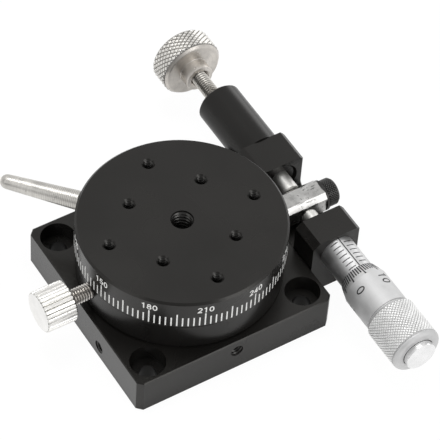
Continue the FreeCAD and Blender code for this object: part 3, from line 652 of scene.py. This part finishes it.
def thimble_marks():
    parts = []
    half = 0.12 / 3.8
    for k in range(THIMBLE_MARKS):
        phi = math.radians(THIMBLE_ZERO + 7.2 * k)
        low = BEVEL_END if k % 5 == 0 else SHORT_MARK_END
        parts.append(patch(LINE, 0.012, low, THIMBLE_EDGE, phi - half, phi + half,
                           bevel_radius))
        if k % 10 == 0:
            parts.append(number(str(k), THIMBLE_NUMERAL, 1.4, 0.12, LINE,
                                THIMBLE_NUMERAL_PLACE, phi, lambda a: THIMBLE_R, 0.014, False))
    return join(parts)


points, faces = thimble_marks()
piece("thimble_scale", points, faces, "ink", "thimble")


class Knurl:
    """Diamond knurl: flattened pyramids between crossing grooves, in a band of a turned piece.

    Each diamond is four steps long and four steps wide.
    """

    SIDE = 0.92            # height halfway down the side of a pyramid

    def __init__(self, front, back, radius, around, rows, depth):
        self.front, self.back, self.radius = front, back, radius
        self.around, self.rows, self.depth = around, rows, depth
        self.across = 4 * around
        self.steps = 4 * rows

    def height(self, i, j):
        """1 on a pyramid and 0 in a groove; i and j count quarters of a diamond."""
        if i in (0, self.steps) or (i % 2 and j % 2):
            return 0.0
        if i % 2 or j % 2:
            return self.SIDE
        return 1.0 if (i // 2 + j // 2) % 2 == 0 else 0.0

    def build(self, axis, start):
        points, faces = [], []
        n = self.across
        for i in range(self.steps + 1):
            a = self.front + (self.back - self.front) * i / self.steps
            for j in range(n):
                r = self.radius - self.depth * (1 - self.height(i, j))
                points.append(axis.at(a, r, 2 * math.pi * j / n))
        for i in range(self.steps):
            for j in range(n):
                k = (j + 1) % n
                a, b = start + i * n + j, start + i * n + k
                c, d = b + n, a + n
                rising = self.height(i, j) + self.height(i + 1, j + 1)
                falling = self.height(i, j + 1) + self.height(i + 1, j)
                if rising < 0.5 or falling > 1.5:
                    faces += [(a, b, c), (a, c, d)] if rising < 0.5 else [(a, b, d), (b, c, d)]
                else:
                    faces += [(a, b, d), (b, c, d)] if falling < 0.5 else [(a, b, c), (a, c, d)]
        return points, faces


def knurled_turning(name, axis, before, knurl, after, body, materials, replaces,
                    sharp=24.0, change=None):
    """A turned piece whose outside carries a knurled band between two plain profiles."""
    n = knurl.across
    points, faces = lathe(axis, before, n, change=change)
    kinds = [0] * len(faces)
    more, more_faces = knurl.build(axis, len(points))
    points += more
    faces += more_faces
    kinds += [1] * len(more_faces)
    rest, rest_faces = lathe(axis, after, n, start=len(points), change=change)
    points += rest
    faces += rest_faces
    kinds += [0] * len(rest_faces)
    return piece(name, points, faces, materials, body, sharp, replaces, kinds)


def arc(centre_a, centre_r, radius, first, last, steps):
    """Rows along an arc, with angles in degrees from the outward direction."""
    rows = []
    for i in range(steps + 1):
        t = math.radians(first + (last - first) * i / steps)
        rows.append((centre_a + radius * math.sin(t), centre_r + radius * math.cos(t)))
    return rows


# Thimble: the bore, the bevel, the plain barrel, the knurled grip and the rounded end.
KNURL_FRONT, KNURL_BACK, KNURL_DEPTH = -30.2, -37.95, 0.12
GRIP_R = 4.8
THIMBLE_BORE_R, THIMBLE_BORE_END = 3.45, -33.0
CAP_SEAT = -38.35
SHAFT_R = 1.92
before = [(THIMBLE_BORE_END, SHAFT_R), (THIMBLE_BORE_END, THIMBLE_BORE_R),
          (THIMBLE_EDGE, THIMBLE_BORE_R), (THIMBLE_EDGE, 3.5),
          (THIMBLE_EDGE - 0.05, THIMBLE_EDGE_R), (BEVEL_END + 0.04, THIMBLE_R - 0.01),
          (BEVEL_END - 0.1, THIMBLE_R), (-29.5, THIMBLE_R), (-29.55, 4.12), (-29.85, 4.12),
          (-29.9, 4.16), (-29.92, 4.45), (-30.12, 4.56), (KNURL_FRONT, GRIP_R - KNURL_DEPTH)]
after = [(KNURL_BACK, GRIP_R - KNURL_DEPTH), (KNURL_BACK - 0.06, 4.6)]
after += arc(KNURL_BACK - 0.1, 3.88, 0.88, 0, -90, 10)[1:]
after += [(-38.93, 3.2), (-38.9, 3.06), (CAP_SEAT, 3.0), (CAP_SEAT, SHAFT_R)]
grip = Knurl(KNURL_FRONT, KNURL_BACK, GRIP_R, 42, 12, KNURL_DEPTH)
knurled_turning("thimble_body", LINE, before, grip, after, "thimble",
                ["barrel", "chrome_knurl"], ["thimble"])

# Tension knob: the collar with its recess, the flat face, the knurled rim and the far face.
COLLAR_START, COLLAR_R = 34.9, 2.8
KNOB_START, KNOB_END, KNOB_R = 37.4, 42.6, 6.2
STEM_END, STEM_BORE_R = 40.0, 1.52
before = [(STEM_END, STEM_BORE_R), (35.5, STEM_BORE_R), (34.95, 1.95), (COLLAR_START, 2.0),
          (COLLAR_START, 2.62), (34.95, 2.74), (35.05, COLLAR_R), (37.3, COLLAR_R),
          (KNOB_START, 2.88), (KNOB_START, 5.45), (37.46, 5.58), (37.9, 5.96)]
after = [(42.1, 5.98), (42.5, 5.58), (KNOB_END, 5.4), (KNOB_END, 3.0), (42.52, 2.9),
         (42.52, 0.0)]
rim = Knurl(37.95, 42.1, KNOB_R, 30, 5, 0.23)
knurled_turning("knurled_knob", LINE, before, rim, after, "tension_screw",
                ["knob", "knob_knurl"], ["tension_knob"])


# The M3 threads of both screws.
M3_R, M3_PITCH, M3_DEPTH = 1.5, 0.5, 0.26
STEM_START = 23.65


def stem():
    """Threaded stem of the tension screw."""
    rows = [(STEM_START, 0.0), (STEM_START, 1.2)]
    rows += thread_rows(STEM_START + 0.15, STEM_END - 0.1, M3_R, M3_PITCH)
    rows += [(STEM_END, 1.2), (STEM_END, 0.0)]
    inner = len(rows) - 3

    def change(i, j, a, r, phi):
        if i < 2 or i > inner:
            return a, r, phi
        return a, r - M3_DEPTH * thread_depth(a, phi, M3_PITCH), phi

    return lathe(LINE, rows, 36, change=change)


points, faces = stem()
piece("threaded_stem", points, faces, "stem", "tension_screw", 50.0,
      ["tension_stem"])


# Thumbscrew. The profile of a flute is given in steps round the head: 0 in it, 1 beside it.
HEAD_START, HEAD_END, HEAD_R = 22.8, 28.9, 3.85
FLUTES = 28
FLUTE_PROFILE = (0.0, 0.6, 1.0, 1.0, 1.0, 1.0, 1.0, 0.6)
FLUTE_DEPTH, FLUTE_END_DEPTH = 0.3, 0.05


def thumbscrew():
    """Fluted head with flats between narrow grooves, and a threaded shank."""
    per = len(FLUTE_PROFILE)
    start, end = HEAD_START, HEAD_END
    rows = [(16.7, 0.0), (16.7, 1.1), (17.3, 1.1)]
    rows += thread_rows(17.6, start - 0.02, M3_R, M3_PITCH)
    last_shank = len(rows) - 1
    rows += [(start, 1.6), (start, 3.2), (start + 0.06, 3.4), (start + 0.4, HEAD_R),
             (end - 0.24, HEAD_R), (end - 0.04, 3.6), (end, 3.5), (end, 3.3),
             (end - 0.02, 3.2), (end - 0.02, 0.0)]
    depths = {last_shank + 3: FLUTE_END_DEPTH, last_shank + 4: FLUTE_DEPTH,
              last_shank + 5: FLUTE_DEPTH, last_shank + 6: FLUTE_END_DEPTH}

    def change(i, j, a, r, phi):
        if 3 <= i <= last_shank:
            return a, r - M3_DEPTH * thread_depth(a, phi, M3_PITCH), phi
        return a, r - depths.get(i, 0.0) * (1 - FLUTE_PROFILE[j % per]), phi

    return lathe(THUMB, rows, FLUTES * per, change=change)


points, faces = thumbscrew()
screw = piece("fluted_thumbscrew", points, faces, ["thumb", "thumb_stem", "thumb_flutes"],
              "clamp_screw", 22.0, ["clamp_thumbscrew"])
for polygon in screw.data.polygons:
    place = -polygon.center.x / MM
    if place < HEAD_START - 0.01:
        polygon.material_index = 1
    elif HEAD_START + 0.1 < place < HEAD_END - 0.05:
        polygon.material_index = 2


# Screw in the arm.
ARM_SCREW_SEAT, ARM_SCREW_END = 30.2, 32.7
SOCKET_R = 1.44        # to the corners of the hexagon
SOCKET_DEPTH = 1.28


def key_socket(i, j, a, r, phi):
    """Makes the rows in the key socket hexagonal, and leaves the others round."""
    if a > ARM_SCREW_END - 1.4 and 0.5 < r < SOCKET_R + 0.01:
        part = (phi % (math.pi / 3)) - math.pi / 6
        return a, r * 0.87 / math.cos(part), phi
    return a, r, phi


before = [(15.8, 0.0), (15.8, 1.2), (16.1, M3_R), (ARM_SCREW_SEAT, M3_R),
          (ARM_SCREW_SEAT, 2.3), (ARM_SCREW_SEAT + 0.1, 2.42)]
after = [(ARM_SCREW_END - 0.32, 2.44), (ARM_SCREW_END, 2.2), (ARM_SCREW_END, 1.6),
         (ARM_SCREW_END - 0.12, SOCKET_R), (ARM_SCREW_END - SOCKET_DEPTH, SOCKET_R - 0.01),
         (ARM_SCREW_END - SOCKET_DEPTH, 0.0)]
rim = Knurl(ARM_SCREW_SEAT + 0.15, ARM_SCREW_END - 0.35, 2.6, 30, 4, 0.1)
knurled_turning("arm_socket_screw", ARM_SCREW, before, rim, after, "clamp_ring",
                ["oxide", "oxide_knurl"], ["arm_cap_screw"], 25.0,
                key_socket)


# Lever.
LEVER_START, LEVER_END = 19.06, 33.9
LEVER_ROOT_R, LEVER_TIP_R = 1.8, 1.35
STUD_HOLE_R, STUD_HOLE_END = 1.27, 24.0
TOOL_MARKS = 92
TOOL_MARK_DEPTH, TOOL_MARKS_FADE = 0.055, 7.5


def lever_rows():
    """Tapered rod with tool marks near its root and a round end."""
    end = LEVER_END - LEVER_TIP_R
    rows = [(STUD_HOLE_END, 0.0), (STUD_HOLE_END, STUD_HOLE_R), (TABLE_R, STUD_HOLE_R),
            (TABLE_R, 1.72), (LEVER_START, LEVER_ROOT_R)]
    for i in range(1, TOOL_MARKS):
        a = LEVER_START + (end - LEVER_START) * i / TOOL_MARKS
        share = (a - LEVER_START) / (end - LEVER_START)
        radius = LEVER_ROOT_R + (LEVER_TIP_R - LEVER_ROOT_R) * share
        mark = TOOL_MARK_DEPTH * max(0.0, 1 - (a - TABLE_R) / TOOL_MARKS_FADE) * (i % 2)
        rows.append((a, radius - mark))
    rows += arc(end, 0.0, LEVER_TIP_R, 0, 90, 12)[:-1]
    return rows + [(end + LEVER_TIP_R, 0.0)]


points, faces = lathe(LEVER, lever_rows(), 48)
piece("turned_lever", points, faces, "lever", "table", 40.0, ["turning_lever"])


# Return spring.
SPRING_FRONT, SPRING_SPLIT, SPRING_BACK = 15.67, 19.53, 22.33
SPRING_PITCH = (SPRING_BACK - SPRING_FRONT) / 6
WIRE_R, WINDING_R = 0.25, 2.0
WIRE_SIDES, TURN_STEPS = 8, 24


def coil(start, end):
    """Round wire wound round the line between two places along it."""
    around = WIRE_SIDES
    steps = round(TURN_STEPS * (end - start) / SPRING_PITCH)
    points, faces = [], []
    for i in range(steps + 1):
        a = start + (end - start) * i / steps
        phi = 2 * math.pi * (a - SPRING_FRONT) / SPRING_PITCH
        for k in range(around):
            turn = 2 * math.pi * k / around
            points.append(LINE.at(a + WIRE_R * math.sin(turn),
                                  WINDING_R + WIRE_R * math.cos(turn), phi))
    for i in range(steps):
        for k in range(around):
            b, c = i * around + k, i * around + (k + 1) % around
            faces.append((b, c, c + around, b + around))
    faces.append(tuple(range(around))[::-1])
    faces.append(tuple(steps * around + k for k in range(around)))
    return points, faces


def on_line(place):
    """A place on the line in metres."""
    return Vector((LINE_X, place, LINE_Z)) * MM


# The front part is pressed by the plunger and the rear part by the seat of the tension screw;
# here both stay fixed where they are made and ride on neither.
for name, start, body in (("spring_front", SPRING_FRONT, "plunger"),
                          ("spring_rear", SPRING_BACK, "spring_seat")):
    points, faces = coil(*sorted((start, SPRING_SPLIT)))
    piece(name, points, faces, "spring", body, 60.0, ["return_spring"],
          pressed=("base", on_line(start), on_line(SPRING_SPLIT)))


# Finishes and edges of the solids.
FINISH = {
    "base_plate": "anodised", "rotating_table": "anodised", "clamp_ring": "ring",
    "micrometer_bracket": "anodised", "plunger_housing": "ring",
    "lever_stud": "lever", "tangent_arm": "arm", "arm_washer": "oxide",
    "bracket_screws": "oxide", "sleeve_set_screw": "oxide", "housing_plug": "oxide",
    "bearing_lock_ring": "oxide", "spindle_nut": "oxide", "bearing_outer_race": "bearing",
    "bearing_inner_race": "bearing", "bearing_balls": "bearing", "bearing_cage": "brass",
    "adjusting_nut": "brass", "clamp_pad": "brass", "slip_washer": "polymer",
    "micrometer_sleeve": "chrome", "micrometer_spindle": "ground", "spindle_ball": "bearing",
    "thimble_cap": "cap", "plunger_pin": "ground", "spring_seat": "ground",
}
for node, finish in FINISH.items():
    mesh = frame["nodes"][node].data
    mesh.materials.clear()
    mesh.materials.append(MATERIALS[finish])


# Small rounded edges on the milled and turned pieces, as modifiers.
EDGE_WIDTH = 0.08
EDGE_ANGLE = math.radians(30)
for node in ("base_plate", "rotating_table", "micrometer_bracket", "clamp_ring"):
    edges = frame["nodes"][node].modifiers.new("edges", "BEVEL")
    edges.width = EDGE_WIDTH * MM
    edges.segments = 2
    edges.limit_method = "ANGLE"
    edges.angle_limit = EDGE_ANGLE
    edges.use_clamp_overlap = False


# Floor, light and camera.
# The plate's cut corners lie on the line |x| + |y| = 38.5, scaled to its half width.
PLATE_CUT = 19.5 / 38.5
FLOOR_HALF = 2.0
FLOOR_Z = -0.0001


def floor():
    """White floor, with a painted shadow beneath the plate; metal mirrors it dimmer near the
    stage.

    The shares of light in metal are lowest on the arm's side, and full strength is 1.03.
    """
    n = Nodes("floor")
    tree = n.tree
    paths = n.add("ShaderNodeLightPath")
    direct = n.math("MAXIMUM", paths.outputs["Is Camera Ray"],
                    paths.outputs["Is Transmission Ray"])
    spot = n.add("ShaderNodeSeparateXYZ", inputs={0: n.position()})
    x, y = spot.outputs[0], spot.outputs[1]
    wide, deep = n.math("ABSOLUTE", x), n.math("ABSOLUTE", y)
    out = n.math("MAXIMUM", wide, deep)
    cut = n.math("MULTIPLY", n.math("ADD", wide, deep), PLATE_CUT)
    # Painted shadow: beneath the plate the floor's glow for direct rays is cut and its colour
    # goes nearly black.
    outside_painted_shadow = n.span(n.math("MAXIMUM", out, cut), 0.0188, 0.0195, 0.0, 0.92)
    direct = n.math("MULTIPLY", direct, outside_painted_shadow)
    near = n.math("MINIMUM", n.span(x, -0.0205, -0.0195, 0.9, 0.28),
                  n.span(x, 0.0215, 0.026, 0.9, 0.05))
    near = n.math("MAXIMUM", near, n.span(y, -0.031, -0.027, 0.8, 0.0))
    far = n.span(out, 0.03, 0.09, 0.05, 0.9)
    mirrored = n.math("MULTIPLY", paths.outputs["Is Glossy Ray"], n.math("MAXIMUM", near, far))
    seen = n.math("MAXIMUM", direct, mirrored)
    # Nearly black beneath the plate: painted shadow.
    floor_colour_with_painted_shadow = n.blend(outside_painted_shadow, (0.03, 0.03, 0.03), (0.95, 0.95, 0.95))
    plain = n.add("ShaderNodeBsdfDiffuse", inputs={"Color": floor_colour_with_painted_shadow})
    glow = n.add("ShaderNodeEmission", inputs={"Color": (1, 1, 1, 1), "Strength": 1.03})
    mix = n.add("ShaderNodeMixShader", inputs={"Fac": seen})
    tree.links.new(plain.outputs[0], mix.inputs[1])
    tree.links.new(glow.outputs[0], mix.inputs[2])
    tree.links.new(mix.outputs[0], tree.nodes["Material Output"].inputs["Surface"])
    mesh = bpy.data.meshes.new("floor")
    corners = [(-1, -1), (1, -1), (1, 1), (-1, 1)]
    mesh.from_pydata([(x * FLOOR_HALF, y * FLOOR_HALF, FLOOR_Z) for x, y in corners], [],
                     [(0, 1, 2, 3)])
    thing = bpy.data.objects.new("floor", mesh)
    mesh.materials.append(n.material)
    bpy.context.scene.collection.objects.link(thing)


# Metal mirrors a dimmer room towards this side: full strength up to the first cosine, and the
# lower strength from the second.
DARK_SIDE = (-0.75, -0.4, 0.35)
DARK_COSINES = (0.5, 0.85)
DARK_STRENGTHS = (1.0, 0.5)
ROOM_STRENGTH = 0.65


def larger(tree, a, b):
    """The larger of two outputs of a node tree."""
    node = tree.nodes.new("ShaderNodeMath")
    node.operation = "MAXIMUM"
    tree.links.new(a, node.inputs[0])
    tree.links.new(b, node.inputs[1])
    return node.outputs[0]


def world():
    """Even room light, and a white background for what is seen directly or mirrored."""
    scene = bpy.context.scene
    scene.world = bpy.data.worlds.new("studio")
    scene.world.use_nodes = True
    tree = scene.world.node_tree
    light = tree.nodes["Background"]
    light.inputs["Color"].default_value = (1, 1, 1, 1)
    light.inputs["Strength"].default_value = ROOM_STRENGTH
    white = tree.nodes.new("ShaderNodeBackground")
    toward = tree.nodes.new("ShaderNodeTexCoord")
    dot = tree.nodes.new("ShaderNodeVectorMath")
    dot.operation = "DOT_PRODUCT"
    dot.inputs[1].default_value = Vector(DARK_SIDE).normalized()
    shade = tree.nodes.new("ShaderNodeMapRange")
    for socket, value in zip(list(shade.inputs)[1:5], DARK_COSINES + DARK_STRENGTHS):
        socket.default_value = value
    tree.links.new(toward.outputs["Generated"], dot.inputs[0])
    tree.links.new(dot.outputs["Value"], shade.inputs[0])
    paths = tree.nodes.new("ShaderNodeLightPath").outputs
    strength = larger(tree, shade.outputs[0], paths["Is Camera Ray"])
    tree.links.new(strength, white.inputs["Strength"])
    seen = larger(tree, paths["Is Camera Ray"], paths["Is Glossy Ray"])
    seen = larger(tree, seen, paths["Is Transmission Ray"])
    mix = tree.nodes.new("ShaderNodeMixShader")
    tree.links.new(seen, mix.inputs[0])
    tree.links.new(light.outputs[0], mix.inputs[1])
    tree.links.new(white.outputs[0], mix.inputs[2])
    tree.links.new(mix.outputs[0], tree.nodes["World Output"].inputs["Surface"])


LAMP_TARGET = (0.008, 0, 0.01)


def lamp(name, place, size, power):
    """A rectangular lamp that faces the stage; its place and size are in metres."""
    data = bpy.data.lights.new(name, "AREA")
    data.shape = "RECTANGLE"
    data.size, data.size_y = size
    data.energy = power
    thing = bpy.data.objects.new(name, data)
    thing.location = place
    direction = Vector(LAMP_TARGET) - Vector(place)
    thing.rotation_euler = direction.to_track_quat("-Z", "Y").to_euler()
    bpy.context.scene.collection.objects.link(thing)


# The photograph's view, found by fitting the plate, the table and the holes to it: angles in
# degrees, focal length in pixels, distance and shifts in millimetres.
VIEW_ANGLES = (-34.713, 50.334, 4.384)
VIEW_FOCAL = 2749.502
VIEW_PLACE = (499.152, -7.616, -12.666)
PICTURE_SIZE = 440
SENSOR = 36


def camera():
    azimuth, height, roll = (math.radians(angle) for angle in VIEW_ANGLES)
    distance, shift_x, shift_y = VIEW_PLACE
    back = Vector((math.sin(azimuth) * math.cos(height),
                   -math.cos(azimuth) * math.cos(height), math.sin(height)))
    right = Vector((math.cos(azimuth), math.sin(azimuth), 0))
    up = back.cross(right)
    across = math.cos(roll) * right + math.sin(roll) * up
    upward = -math.sin(roll) * right + math.cos(roll) * up
    data = bpy.data.cameras.new("camera")
    data.sensor_width = SENSOR
    data.lens = VIEW_FOCAL / PICTURE_SIZE * SENSOR
    data.clip_start = 0.05
    data.clip_end = 8
    thing = bpy.data.objects.new("camera", data)
    bpy.context.scene.collection.objects.link(thing)
    place = (-shift_x * across - shift_y * upward + distance * back) * MM
    turn = Matrix((across, upward, back)).transposed().to_4x4()
    thing.matrix_world = Matrix.Translation(place) @ turn
    bpy.context.scene.camera = thing


floor()
world()
lamp("top", (0.0, 0.15, 1.0), (0.35, 0.3), 2.8)
lamp("left", (-0.8, -0.1, 0.6), (0.5, 0.7), 1.0)
lamp("front", (0.37, -0.78, 0.52), (0.5, 0.4), 1.5)
lamp("back", (0.85, 0.6, 0.2), (0.5, 0.4), 0.9)
camera()
bpy.context.scene.view_settings.view_transform = "Standard"
